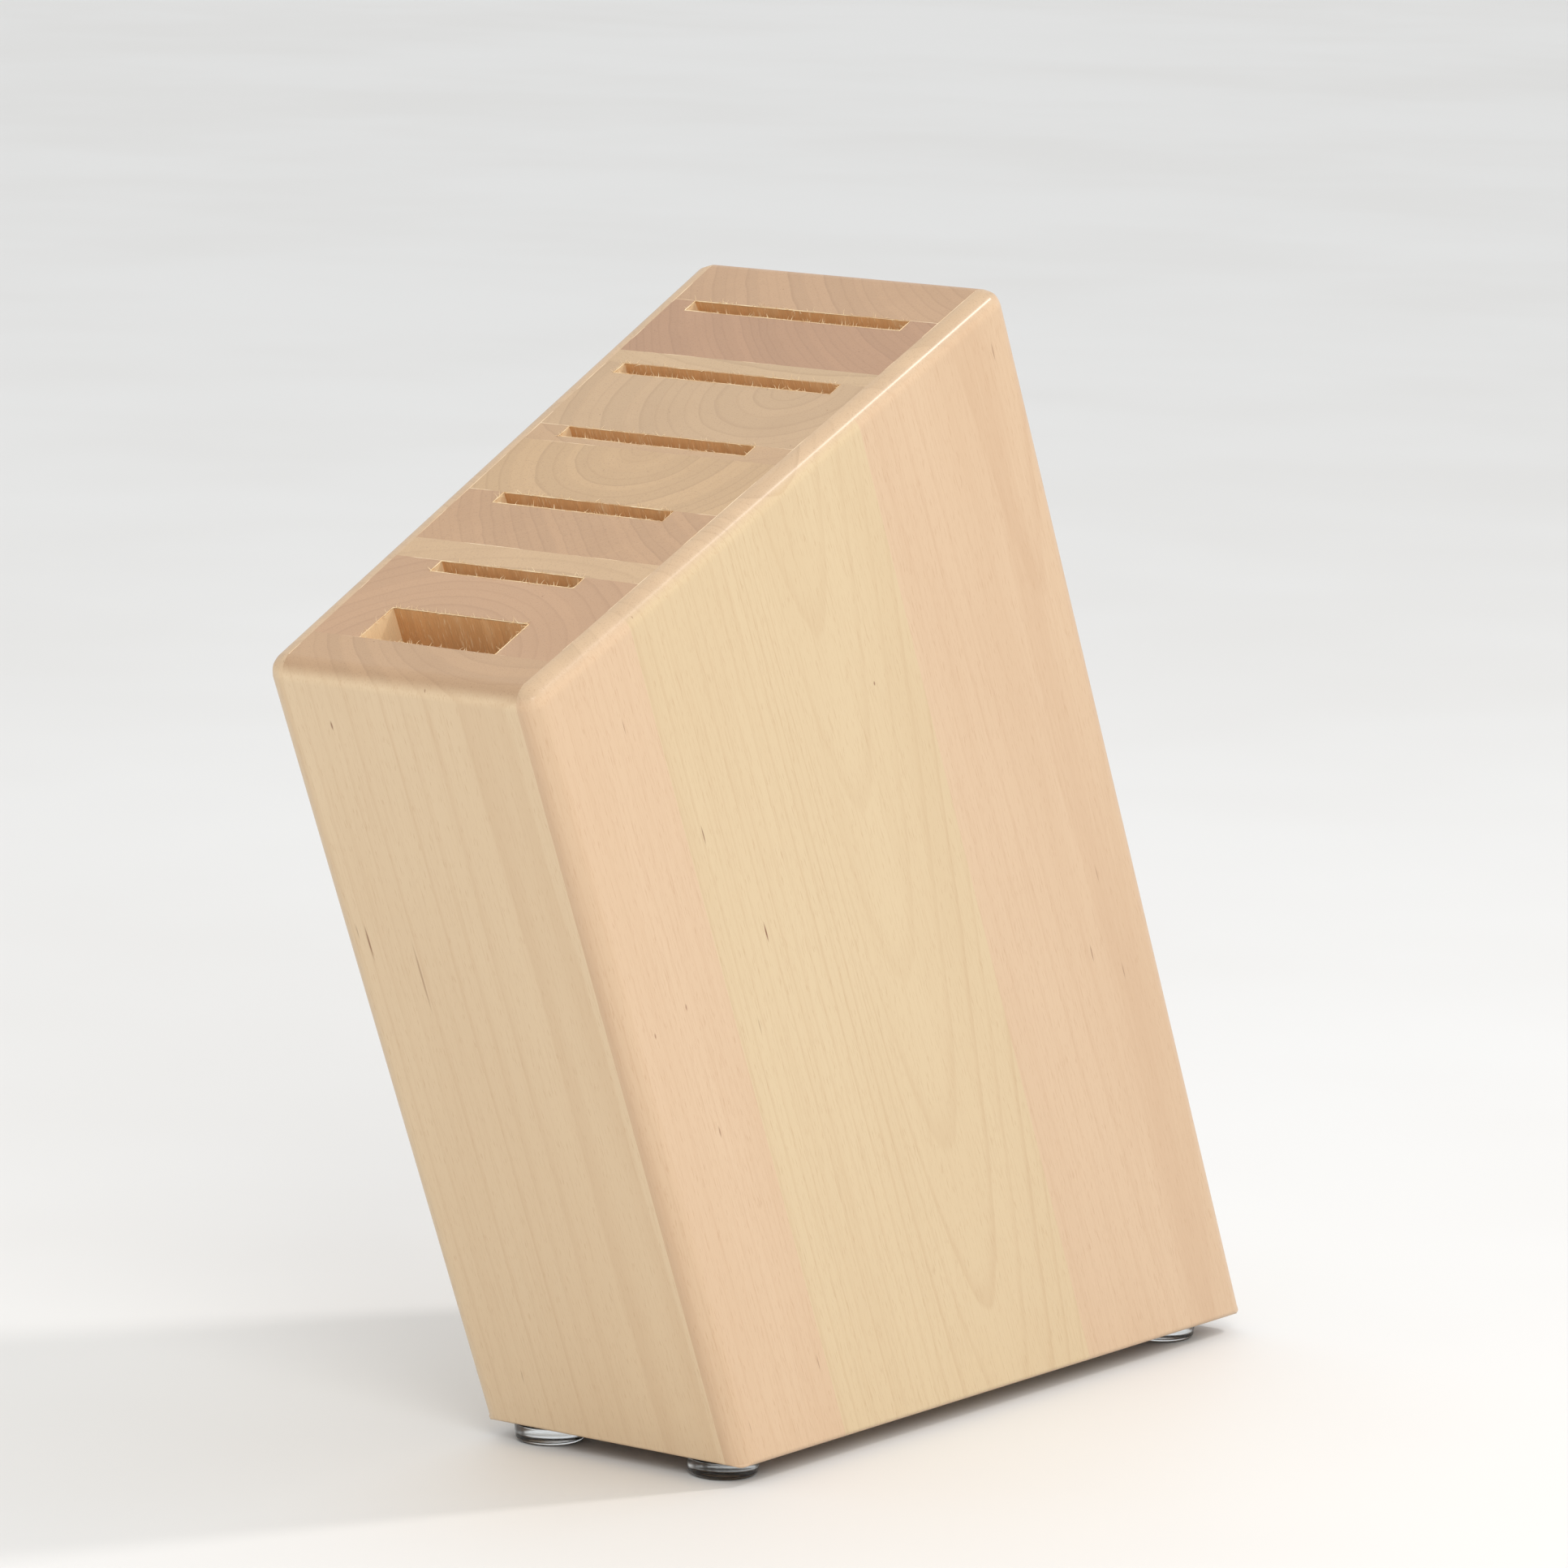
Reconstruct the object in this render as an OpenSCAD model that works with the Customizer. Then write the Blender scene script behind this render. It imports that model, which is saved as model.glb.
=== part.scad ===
// Countertop knife block, empty: grooved boards glued into a leaning stack, closed by two
// side panels of edge-glued staves, and standing on four clear stick-on bumpers.
// Millimetres, +Z up, +Y towards the tall back. The origin is on the resting plane, at the
// middle of the overall footprint.

/* [Block] */
// Angle the boards lean forward from the vertical, degrees
lean = 24.15; // [18:0.05:30]
// Length of the front face, measured along the boards
front_len = 154; // [120:1:180]
// Width across the two side panels at the front face
front_w = 56.2; // [54:0.1:70]
// Growth of the width for each millimetre of depth behind the front face
width_gain = 0.058; // [0:0.002:0.08]
// Radius rounded onto the top, front and back edges
edge_r = 3.5; // [1.5:0.1:3.6]
// Small radius on the lower edges of the front and back boards
lower_r = 1.0; // [0.5:0.1:2]

/* [Board stack] */
// Thickness of the plain front board
front_board_t = 10.5; // [8:0.5:16]
// Thickness of the board with the shears slot and the paring slot
shears_board_t = 25.2; // [22:0.2:30]
// Thickness of the plain strip that closes the paring slot
paring_cover_t = 6.1; // [4:0.1:10]
// Thickness of the board with the utility slot
utility_board_t = 16.6; // [10:0.1:20]
// Thickness of the plain board that closes the utility slot
utility_cover_t = 17.3; // [10:0.1:20]
// Thickness of the strip with the carving slot
carving_board_t = 5.3; // [5:0.1:10]
// Thickness of the board with the slicing slot
slicer_board_t = 21.9; // [14:0.1:26]
// Thickness of the thin strip that closes the slicing slot
slicer_cover_t = 4.1; // [3:0.1:8]
// Thickness of the board with the chef's knife slot
chef_board_t = 18.4; // [12:0.1:24]
// Thickness of the plain back board
back_board_t = 15.1; // [8:0.1:20]

/* [Slots] */
// Depth of the thin grooves that take the knife blades
blade_gap = 3.4; // [2.4:0.1:4]
// Depth of the wide groove that takes the shears
shears_gap = 9.9; // [7:0.1:14]
// Width of the chef's knife slot
chef_w = 45.6; // [36:0.1:46]
// Width of the slicing slot
slicer_w = 45.6; // [36:0.1:46]
// Width of the carving slot
carving_w = 39.2; // [30:0.1:44]
// Width of the utility slot
utility_w = 35.5; // [26:0.1:42]
// Width of the paring slot
paring_w = 29.8; // [18:0.1:36]
// Width of the shears slot
shears_w = 28.2; // [20:0.1:34]
// Sideways position of the grooves from the middle of the block
slot_shift = -0.8; // [-1:0.1:1]

/* [Side panels] */
// Thickness of a side panel
panel_t = 3.9; // [3.8:0.1:5]
// Depth behind the front face at which the front stave ends
front_stave_to = 26.7; // [18:0.1:40]
// Depth behind the front face at which the middle stave ends
middle_stave_to = 94.3; // [70:0.1:110]

/* [Feet] */
// Diameter of a bumper where it is stuck on
foot_d = 12.7; // [10:0.1:16]
// Height of a bumper with its adhesive
foot_h = 3.5; // [2.5:0.1:6]
// Thickness of the adhesive layer
adhesive_t = 0.25; // [0.2:0.05:0.5]
// Radius rounded onto the bumper's lower rim
foot_rim_r = 1.3; // [0.6:0.1:1.8]
// Distance of a bumper's centre from the side of the block
foot_side_inset = 9.7; // [9:0.1:14]
// Distance of the front bumpers' centres from the bottom front edge
foot_front_inset = 7.0; // [6.8:0.1:30]
// Distance of the back bumpers' centres from the bottom back edge
foot_back_inset = 13.7; // [12:0.1:30]

/* [Hidden] */
$fn = 64;

// Depth behind the front face at which each board starts.
shears_at = front_board_t;
paring_cover_at = shears_at + shears_board_t;
utility_at = paring_cover_at + paring_cover_t;
utility_cover_at = utility_at + utility_board_t;
carving_at = utility_cover_at + utility_cover_t;
slicer_at = carving_at + carving_board_t;
slicer_cover_at = slicer_at + slicer_board_t;
chef_at = slicer_cover_at + slicer_cover_t;
back_at = chef_at + chef_board_t;
stack_t = back_at + back_board_t;

// Shape of the block seen from its side.
base_len = stack_t / cos(lean);
front_reach = front_len * sin(lean) - edge_r * (cos(lean) + sin(lean) - 1);
back_reach = base_len - lower_r / tan((90 - lean) / 2) + lower_r;
front_edge_y = (front_reach - back_reach) / 2;

// Widths.
half_front = front_w / 2;
half_gain = width_gain / 2;
half_back = half_front + half_gain * stack_t;
core_front = half_front - panel_t;
splay = atan(half_gain);

// Bumpers.
foot_r = foot_d / 2;
rim_r = foot_r - 0.35;
front_foot_x = half_front + half_gain * foot_front_inset * cos(lean) - foot_side_inset;
back_foot_depth = (base_len - foot_back_inset) * cos(lean);
back_foot_x = half_front + half_gain * back_foot_depth - foot_side_inset;
front_foot_y = front_edge_y + foot_front_inset;
back_foot_y = front_edge_y + base_len - foot_back_inset;

// Clearance that carries a cut past a face.
over = 5;

maple = [0.85, 0.72, 0.55];
amber = [0.78, 0.62, 0.47];
pale = [0.88, 0.77, 0.60];
clear = [0.85, 0.87, 0.88, 0.4];

// Puts children drawn as (across, behind the front face, along the boards) in the row frame.
module leaning() {
    translate([0, front_edge_y, foot_h])
        rotate([lean, 0, 0])
            children();
}

// Corner of a convex outline, rounded: a wedge out to the two tangent points, and a disc.
// The corner is at the given place, its two edges run off at the given directions.
function corner_centre(p, a, b, r) =
    let (half = abs(b - a) / 2, mid = (a + b) / 2)
    [p[0] + r / sin(half) * cos(mid), p[1] + r / sin(half) * sin(mid)];
function tangent_point(p, a, b, r, along) =
    let (run = r / tan(abs(b - a) / 2))
    [p[0] + run * cos(along), p[1] + run * sin(along)];

// Outline of the block from its side, in depth and length along the boards.
module side_outline() {
    bottom_back = [stack_t, -stack_t * tan(lean)];
    top_back = [stack_t, front_len];
    top_front = [0, front_len];
    bottom_front = [0, 0];
    polygon([
        tangent_point(bottom_front, -lean, 90, lower_r, 90),
        tangent_point(bottom_front, -lean, 90, lower_r, -lean),
        tangent_point(bottom_back, 90, 180 - lean, lower_r, 180 - lean),
        tangent_point(bottom_back, 90, 180 - lean, lower_r, 90),
        tangent_point(top_back, 180, 270, edge_r, 270),
        tangent_point(top_back, 180, 270, edge_r, 180),
        tangent_point(top_front, -90, 0, edge_r, 0),
        tangent_point(top_front, -90, 0, edge_r, -90)
    ]);
    translate(corner_centre(bottom_front, -lean, 90, lower_r))
        circle(lower_r);
    translate(corner_centre(bottom_back, 90, 180 - lean, lower_r))
        circle(lower_r);
    translate(corner_centre(top_back, 180, 270, edge_r))
        circle(edge_r);
    translate(corner_centre(top_front, -90, 0, edge_r))
        circle(edge_r);
}

// Solid with the side outline, wide enough to hold the whole block.
module side_prism() {
    rotate([90, 0, 90])
        linear_extrude(2 * half_back + 4 * over, center = true)
            side_outline();
}

// Slice of the tapering core between two depths, as long as the block is tall.
module core_slice(from, to) {
    translate([0, 0, -stack_t])
        linear_extrude(stack_t + front_len + over)
            polygon([
                [-core_front - half_gain * from, from],
                [core_front + half_gain * from, from],
                [core_front + half_gain * to, to],
                [-core_front - half_gain * to, to]
            ]);
}

// Board of the stack between two depths, finished to the block's side outline.
module board(from, t) {
    intersection() {
        core_slice(from, from + t);
        side_prism();
    }
}

// Groove of one width, run along the whole length of a board.
module groove(w, from, t) {
    translate([slot_shift - w / 2, from, -stack_t - over])
        cube([w, t, stack_t + front_len + 2 * over]);
}

// Right side panel's section: a slanting strip with its two outer corners rounded.
module panel_section() {
    outer_front = [half_front, 0];
    outer_back = [half_back, stack_t];
    polygon([
        [core_front, 0],
        tangent_point(outer_front, 90 - splay, 180, edge_r, 180),
        tangent_point(outer_front, 90 - splay, 180, edge_r, 90 - splay),
        tangent_point(outer_back, 180, 270 - splay, edge_r, 270 - splay),
        tangent_point(outer_back, 180, 270 - splay, edge_r, 180),
        [half_back - panel_t, stack_t]
    ]);
    translate(corner_centre(outer_front, 90 - splay, 180, edge_r))
        circle(edge_r);
    translate(corner_centre(outer_back, 180, 270 - splay, edge_r))
        circle(edge_r);
}

// Section across the top of the right panel, outer top corner rounded.
module panel_top_section() {
    low = -stack_t - over;
    corner = [0, front_len];
    polygon([
        [-panel_t - over, low],
        [0, low],
        tangent_point(corner, 180, 270, edge_r, 270),
        tangent_point(corner, 180, 270, edge_r, 180),
        [-panel_t - over, front_len]
    ]);
    translate(corner_centre(corner, 180, 270, edge_r))
        circle(edge_r);
}

// Whole right side panel, rounded along its top, front and back.
module right_panel() {
    intersection() {
        translate([0, 0, -stack_t])
            linear_extrude(stack_t + front_len + over)
                panel_section();
        translate([half_front, 0, 0])
            rotate([0, 0, -splay])
                translate([0, stack_t + over, 0])
                    rotate([90, 0, 0])
                        linear_extrude(stack_t + 2 * over)
                            panel_top_section();
        side_prism();
    }
}

// One stave of the right panel, between two depths.
module right_stave(from, to) {
    intersection() {
        right_panel();
        translate([0, from, -stack_t - over])
            cube([half_back + over, to - from, stack_t + front_len + 2 * over]);
    }
}

// The same stave of the left panel.
module left_stave(from, to) {
    mirror([1, 0, 0])
        right_stave(from, to);
}

module front_board() {
    color(maple)
        leaning()
            board(0, front_board_t);
}

module shears_board() {
    color(maple)
        leaning()
            difference() {
                board(shears_at, shears_board_t);
                groove(shears_w, shears_at - over, shears_gap + over);
                groove(paring_w, paring_cover_at - blade_gap, blade_gap + over);
            }
}

module paring_cover() {
    color(pale)
        leaning()
            board(paring_cover_at, paring_cover_t);
}

module utility_board() {
    color(amber)
        leaning()
            difference() {
                board(utility_at, utility_board_t);
                groove(utility_w, utility_cover_at - blade_gap, blade_gap + over);
            }
}

module utility_cover() {
    color(maple)
        leaning()
            board(utility_cover_at, utility_cover_t);
}

module carving_board() {
    color(maple)
        leaning()
            difference() {
                board(carving_at, carving_board_t);
                groove(carving_w, slicer_at - blade_gap, blade_gap + over);
            }
}

module slicer_board() {
    color(maple)
        leaning()
            difference() {
                board(slicer_at, slicer_board_t);
                groove(slicer_w, slicer_cover_at - blade_gap, blade_gap + over);
            }
}

module slicer_cover() {
    color(pale)
        leaning()
            board(slicer_cover_at, slicer_cover_t);
}

module chef_board() {
    color(amber)
        leaning()
            difference() {
                board(chef_at, chef_board_t);
                groove(chef_w, back_at - blade_gap, blade_gap + over);
            }
}

module back_board() {
    color(maple)
        leaning()
            board(back_at, back_board_t);
}

module left_front_stave() {
    color(maple)
        leaning()
            left_stave(-over, front_stave_to);
}

module left_middle_stave() {
    color(pale)
        leaning()
            left_stave(front_stave_to, middle_stave_to);
}

module left_back_stave() {
    color(maple)
        leaning()
            left_stave(middle_stave_to, stack_t + over);
}

module right_front_stave() {
    color(maple)
        leaning()
            right_stave(-over, front_stave_to);
}

module right_middle_stave() {
    color(pale)
        leaning()
            right_stave(front_stave_to, middle_stave_to);
}

module right_back_stave() {
    color(maple)
        leaning()
            right_stave(middle_stave_to, stack_t + over);
}

// Round bumper with a rounded lower rim, standing on its flat bottom.
module bumper() {
    color(clear)
        rotate_extrude() {
            polygon([
                [0, 0],
                [rim_r - foot_rim_r, 0],
                [rim_r - foot_rim_r, foot_rim_r],
                [rim_r, foot_rim_r],
                [foot_r, foot_h - adhesive_t],
                [0, foot_h - adhesive_t]
            ]);
            translate([rim_r - foot_rim_r, foot_rim_r])
                circle(foot_rim_r);
        }
}

// Thin round of adhesive between a bumper and the wood.
module adhesive() {
    color(clear)
        translate([0, 0, foot_h - adhesive_t])
            cylinder(h = adhesive_t, r = foot_r - 0.2);
}

module foot_front_left() {
    translate([-front_foot_x, front_foot_y, 0])
        bumper();
}

module foot_front_right() {
    translate([front_foot_x, front_foot_y, 0])
        bumper();
}

module foot_back_left() {
    translate([-back_foot_x, back_foot_y, 0])
        bumper();
}

module foot_back_right() {
    translate([back_foot_x, back_foot_y, 0])
        bumper();
}

module adhesive_front_left() {
    translate([-front_foot_x, front_foot_y, 0])
        adhesive();
}

module adhesive_front_right() {
    translate([front_foot_x, front_foot_y, 0])
        adhesive();
}

module adhesive_back_left() {
    translate([-back_foot_x, back_foot_y, 0])
        adhesive();
}

module adhesive_back_right() {
    translate([back_foot_x, back_foot_y, 0])
        adhesive();
}

front_board();
shears_board();
paring_cover();
utility_board();
utility_cover();
carving_board();
slicer_board();
slicer_cover();
chef_board();
back_board();
left_front_stave();
left_middle_stave();
left_back_stave();
right_front_stave();
right_middle_stave();
right_back_stave();
foot_front_left();
foot_front_right();
foot_back_left();
foot_back_right();
adhesive_front_left();
adhesive_front_right();
adhesive_back_left();
adhesive_back_right();
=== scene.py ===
"""Empty countertop knife block: ten leaning boards, two side panels of staves and clear bumpers."""

import logging
import math
from dataclasses import dataclass, field
from enum import Enum
from typing import Any, Optional, Sequence

import bmesh
import bpy
from mathutils import Matrix, Vector


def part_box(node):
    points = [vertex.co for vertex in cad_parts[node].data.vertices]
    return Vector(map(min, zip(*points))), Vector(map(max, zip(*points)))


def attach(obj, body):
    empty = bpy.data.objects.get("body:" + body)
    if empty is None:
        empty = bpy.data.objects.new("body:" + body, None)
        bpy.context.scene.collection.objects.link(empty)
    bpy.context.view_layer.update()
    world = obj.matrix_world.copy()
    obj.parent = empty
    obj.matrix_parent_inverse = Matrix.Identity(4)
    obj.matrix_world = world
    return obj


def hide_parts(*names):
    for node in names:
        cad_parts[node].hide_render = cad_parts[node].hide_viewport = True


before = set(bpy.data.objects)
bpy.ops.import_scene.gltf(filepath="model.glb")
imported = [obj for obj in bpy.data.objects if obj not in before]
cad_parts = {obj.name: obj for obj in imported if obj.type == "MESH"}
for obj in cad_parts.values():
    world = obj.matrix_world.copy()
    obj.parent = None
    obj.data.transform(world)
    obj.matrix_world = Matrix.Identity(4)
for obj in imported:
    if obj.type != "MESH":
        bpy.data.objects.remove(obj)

LOG = logging.getLogger("knife_block")
MM = 0.001
Colour = tuple[float, float, float]
Point2 = tuple[float, float]


def tone(red: int, green: int, blue: int) -> Colour:
    """Turn a paint-chart colour, 0 to 255 a channel, into scene-linear light.

    Args:
        red: red channel.
        green: green channel.
        blue: blue channel.

    Returns:
        The colour as three linear shares.
    """

    def linear(channel: int) -> float:
        """Linear share of one channel."""
        share = channel / 255
        return share / 12.92 if share <= 0.04045 else ((share + 0.055) / 1.055) ** 2.4

    return linear(red), linear(green), linear(blue)


def maple(red: int, green: int, blue: int) -> Colour:
    """Paint-chart colour of the wood in full light, less what the studio's light adds."""
    share = 0.815
    return tuple(share * c for c in tone(red, green, blue))  # type: ignore[return-value]


# ---------------------------------------------------------------- node helpers


class Sum:
    """A number socket that can be written into sums with ordinary operators."""

    def __init__(self, graph: "Graph", socket: Any) -> None:
        """Keep the socket and the graph it belongs to."""
        self.graph = graph
        self.socket = socket

    def _with(self, kind: str, other: Any, flip: bool = False) -> "Sum":
        """Join this number and another in one Math node, in either order."""
        pair = (other, self) if flip else (self, other)
        return self.graph.math(kind, *pair)

    def __add__(self, other: Any) -> "Sum":
        """Sum of both numbers."""
        return self._with("ADD", other)

    __radd__ = __add__

    def __sub__(self, other: Any) -> "Sum":
        """This number less the other."""
        return self._with("SUBTRACT", other)

    def __rsub__(self, other: Any) -> "Sum":
        """The other number less this one."""
        return self._with("SUBTRACT", other, True)

    def __mul__(self, other: Any) -> "Sum":
        """Product of both numbers."""
        return self._with("MULTIPLY", other)

    __rmul__ = __mul__

    def __truediv__(self, other: Any) -> "Sum":
        """This number over the other."""
        return self._with("DIVIDE", other)

    def __rtruediv__(self, other: Any) -> "Sum":
        """The other number over this one."""
        return self._with("DIVIDE", other, True)

    def __pow__(self, other: Any) -> "Sum":
        """This number to a power."""
        return self._with("POWER", other)

    def __neg__(self) -> "Sum":
        """This number with its sign changed."""
        return self._with("MULTIPLY", -1.0)

    def __abs__(self) -> "Sum":
        """Size of this number."""
        return self.graph.math("ABSOLUTE", self)

    def floor(self) -> "Sum":
        """Whole part below this number."""
        return self.graph.math("FLOOR", self)

    def fraction(self) -> "Sum":
        """What is left above the whole part."""
        return self.graph.math("FRACT", self)

    def root(self) -> "Sum":
        """Square root of this number."""
        return self.graph.math("SQRT", self)

    def step(self, low: float, high: float, out_low: float = 0.0, out_high: float = 1.0) -> "Sum":
        """Blend smoothly from one value to another while this number crosses a band.

        Args:
            low: where the blend starts.
            high: where the blend ends.
            out_low: value before the band.
            out_high: value after the band.

        Returns:
            The blended number.
        """
        made = self.graph.node(
            "ShaderNodeMapRange",
            {"interpolation_type": "SMOOTHSTEP"},
            {
                "Value": self,
                "From Min": low,
                "From Max": high,
                "To Min": out_low,
                "To Max": out_high,
            },
        )
        return Sum(self.graph, made.outputs["Result"])


class Graph:
    """One material's node tree, filled through a few typed methods."""

    def __init__(self, name: str) -> None:
        """Start an empty material of this name.

        Args:
            name: name of the material.
        """
        self.material = bpy.data.materials.new(name)
        self.material.use_nodes = True
        self.tree = self.material.node_tree
        self.tree.nodes.clear()

    def node(
        self,
        kind: str,
        settings: Optional[dict[str, Any]] = None,
        inputs: Optional[dict[Any, Any]] = None,
    ) -> Any:
        """Add one node, its settings first, then its socket values and links.

        Args:
            kind: the node's type.
            settings: plain properties of the node.
            inputs: socket name or number to a value, a socket or a Sum.

        Returns:
            The new node.
        """
        made = self.tree.nodes.new(kind)
        for key, value in (settings or {}).items():
            setattr(made, key, value)
        for key, value in (inputs or {}).items():
            self._feed(made.inputs[key], value)
        return made

    def _feed(self, socket: Any, value: Any) -> None:
        """Link a socket, or set its value.

        Args:
            socket: input to fill.
            value: link or plain value for it.
        """
        if isinstance(value, Sum):
            value = value.socket
        if isinstance(value, bpy.types.NodeSocket):
            self.tree.links.new(value, socket)
            return
        if socket.type == "RGBA" and len(value) == 3:
            value = (*value, 1.0)
        socket.default_value = value

    def math(self, kind: str, *values: Any) -> Sum:
        """Put one Math node over the given numbers."""
        made = self.node("ShaderNodeMath", {"operation": kind}, dict(enumerate(values)))
        return Sum(self, made.outputs[0])

    def vector(self, kind: str, *values: Any, out: str = "Vector") -> Any:
        """Put one Vector Math node over the given vectors and give the wanted output."""
        made = self.node("ShaderNodeVectorMath", {"operation": kind}, dict(enumerate(values)))
        return Sum(self, made.outputs["Value"]) if out == "Value" else made.outputs[out]

    def mix(self, factor: Any, first: Any, second: Any, blend: str = "MIX") -> Any:
        """Blend two colours by a factor and give the result's socket.

        Args:
            factor: share of the second colour.
            first: colour at factor 0.
            second: colour at factor 1.
            blend: way of mixing.

        Returns:
            The result's colour socket.
        """
        made = self.node(
            "ShaderNodeMix",
            {"data_type": "RGBA", "blend_type": blend, "clamp_factor": True},
            {"Factor": factor},
        )
        self._feed(made.inputs[6], first)
        self._feed(made.inputs[7], second)
        return made.outputs[2]

    def noise(self, at: Any, scale: float, detail: float = 2.0, rough: float = 0.5) -> Sum:
        """Cloudy noise between 0 and 1 at a scaled place.

        Args:
            at: place to read.
            scale: how many waves to a unit.
            detail: how many finer layers.
            rough: strength of the finer layers.

        Returns:
            The noise as a number.
        """
        made = self.node(
            "ShaderNodeTexNoise",
            {"noise_dimensions": "3D"},
            {"Vector": at, "Scale": scale, "Detail": detail, "Roughness": rough},
        )
        return Sum(self, made.outputs["Fac"])

    def parts(self, at: Any) -> tuple[Sum, Sum, Sum]:
        """Split a vector into its three numbers."""
        made = self.node("ShaderNodeSeparateXYZ", None, {0: at})
        return Sum(self, made.outputs[0]), Sum(self, made.outputs[1]), Sum(self, made.outputs[2])

    def join(self, x: Any, y: Any, z: Any) -> Any:
        """Join three numbers into a vector."""
        return self.node("ShaderNodeCombineXYZ", None, {0: x, 1: y, 2: z}).outputs[0]

    def places(self) -> Any:
        """Give the piece's own places, in metres, through a mapping."""
        at = self.node("ShaderNodeTexCoord").outputs["Object"]
        return self.node("ShaderNodeMapping", {"vector_type": "POINT"}, {"Vector": at}).outputs[0]

    def bump(self, height: Any, strength: float, distance: float, under: Any = None) -> Any:
        """Turn a height into a bent normal, on top of another if one is given.

        Args:
            height: height to turn into a normal.
            strength: how much of the bend is used.
            distance: height in metres of a full step.
            under: normal that this one lies on.

        Returns:
            The normal socket.
        """
        wanted: dict[Any, Any] = {"Height": height, "Strength": strength, "Distance": distance}
        if under is not None:
            wanted["Normal"] = under
        return self.node("ShaderNodeBump", None, wanted).outputs["Normal"]

    def surface(self, inputs: dict[str, Any]) -> bpy.types.Material:
        """Finish the tree with one Principled shader.

        Args:
            inputs: socket name to a value, a socket or a Sum.

        Returns:
            The finished material.
        """
        shader = self.node("ShaderNodeBsdfPrincipled", None, inputs)
        self.node("ShaderNodeOutputMaterial", None, {"Surface": shader.outputs[0]})
        return self.material


# ---------------------------------------------------------------- the block's own directions


@dataclass(frozen=True)
class Stack:
    """Directions and overall sizes of the leaning stack, in metres.

    Places in the stack are given as (across, behind the front face, along the boards).
    """

    lean: float = math.radians(24.15)
    front_len: float = 154 * MM
    half_front: float = 28.1 * MM
    half_gain: float = 0.029
    depth: float = 140.5 * MM
    panel: float = 3.9 * MM
    edge_r: float = 3.5 * MM
    lower_r: float = 1.0 * MM
    lower_back_r: float = 1.08 * MM
    slot_shift: float = -0.8 * MM

    @property
    def foot_top(self) -> float:
        """Height of the wood's underside above the table."""
        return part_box("adhesive_front_left")[1].z

    @property
    def base_y(self) -> float:
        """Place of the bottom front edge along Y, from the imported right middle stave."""
        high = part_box("right_middle_stave")[1].y
        return high - 94.3 * MM / math.cos(self.lean)

    def place(self, x: float, q: float, v: float) -> Vector:
        """Put a place of the stack into the frame.

        Args:
            x: distance across, to the right.
            q: distance behind the front face.
            v: distance along the boards, upwards.

        Returns:
            The place in the frame, in metres.
        """
        c, s = math.cos(self.lean), math.sin(self.lean)
        return Vector((x, self.base_y + q * c - v * s, self.foot_top + q * s + v * c))

    def low(self, q: float) -> float:
        """Length at which a board at this depth meets the underside."""
        return -q * math.tan(self.lean)

    def core(self, q: float) -> float:
        """Half width of the board stack at this depth."""
        return self.half_front - self.panel + self.half_gain * q

    def outer(self, q: float) -> float:
        """Half width of the whole block at this depth."""
        return self.half_front + self.half_gain * q


# ---------------------------------------------------------------- finishes


@dataclass(frozen=True)
class Mark:
    """One dark fleck on a face, in millimetres: across, behind, along, length and strength."""

    across: float
    behind: float
    along: float
    length: float
    strength: float = 0.8
    width: float = 0.28


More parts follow.
